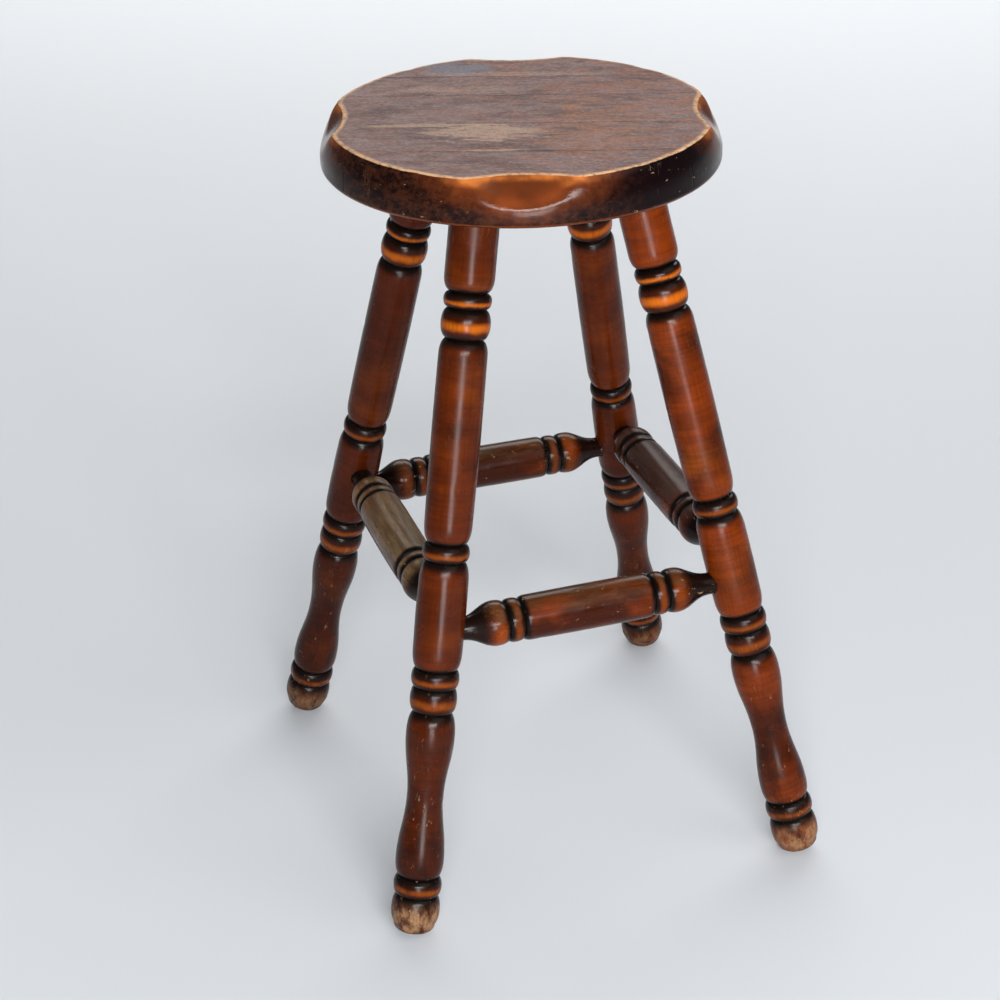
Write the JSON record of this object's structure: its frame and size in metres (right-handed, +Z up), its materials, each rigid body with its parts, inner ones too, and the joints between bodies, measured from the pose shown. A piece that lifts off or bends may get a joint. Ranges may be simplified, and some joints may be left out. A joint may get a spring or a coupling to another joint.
{
  "type": "turned wooden stool",
  "caption": "Backless round-seat wooden stool with splayed turned legs, a box of turned stretchers and a scalloped seat edge.",
  "frame": {"origin": "on the floor, midway between the four feet; the seat's middle is 6 mm to the left of it", "axes": "+Z up; -Y is the front; +X is the right as the front is seen; the seat's boards run 20 degrees clockwise from +X, seen from above"},
  "size_m": [0.3822, 0.4062, 0.627],
  "materials": {
    "seat_wood": "worn matt top face, dark glossy varnish on the edge",
    "leg_wood": "glossy red-brown varnish, dark in the grooves, rubbed bare at the feet",
    "stretcher_wood": "satin red-brown varnish, dark at the necks, scuffed dull on top"
  },
  "bodies": {
    "root": {"seat_board_front": "seat_wood", "seat_board_front_inner": "seat_wood", "seat_board_middle": "seat_wood", "seat_board_back_inner": "seat_wood", "seat_board_back": "seat_wood", "leg_front_left": "leg_wood", "leg_front_right": "leg_wood", "leg_back_left": "leg_wood", "leg_back_right": "leg_wood", "stretcher_front": "stretcher_wood", "stretcher_back": "stretcher_wood", "stretcher_left": "stretcher_wood", "stretcher_right": "stretcher_wood"}
  },
  "joints": []
}
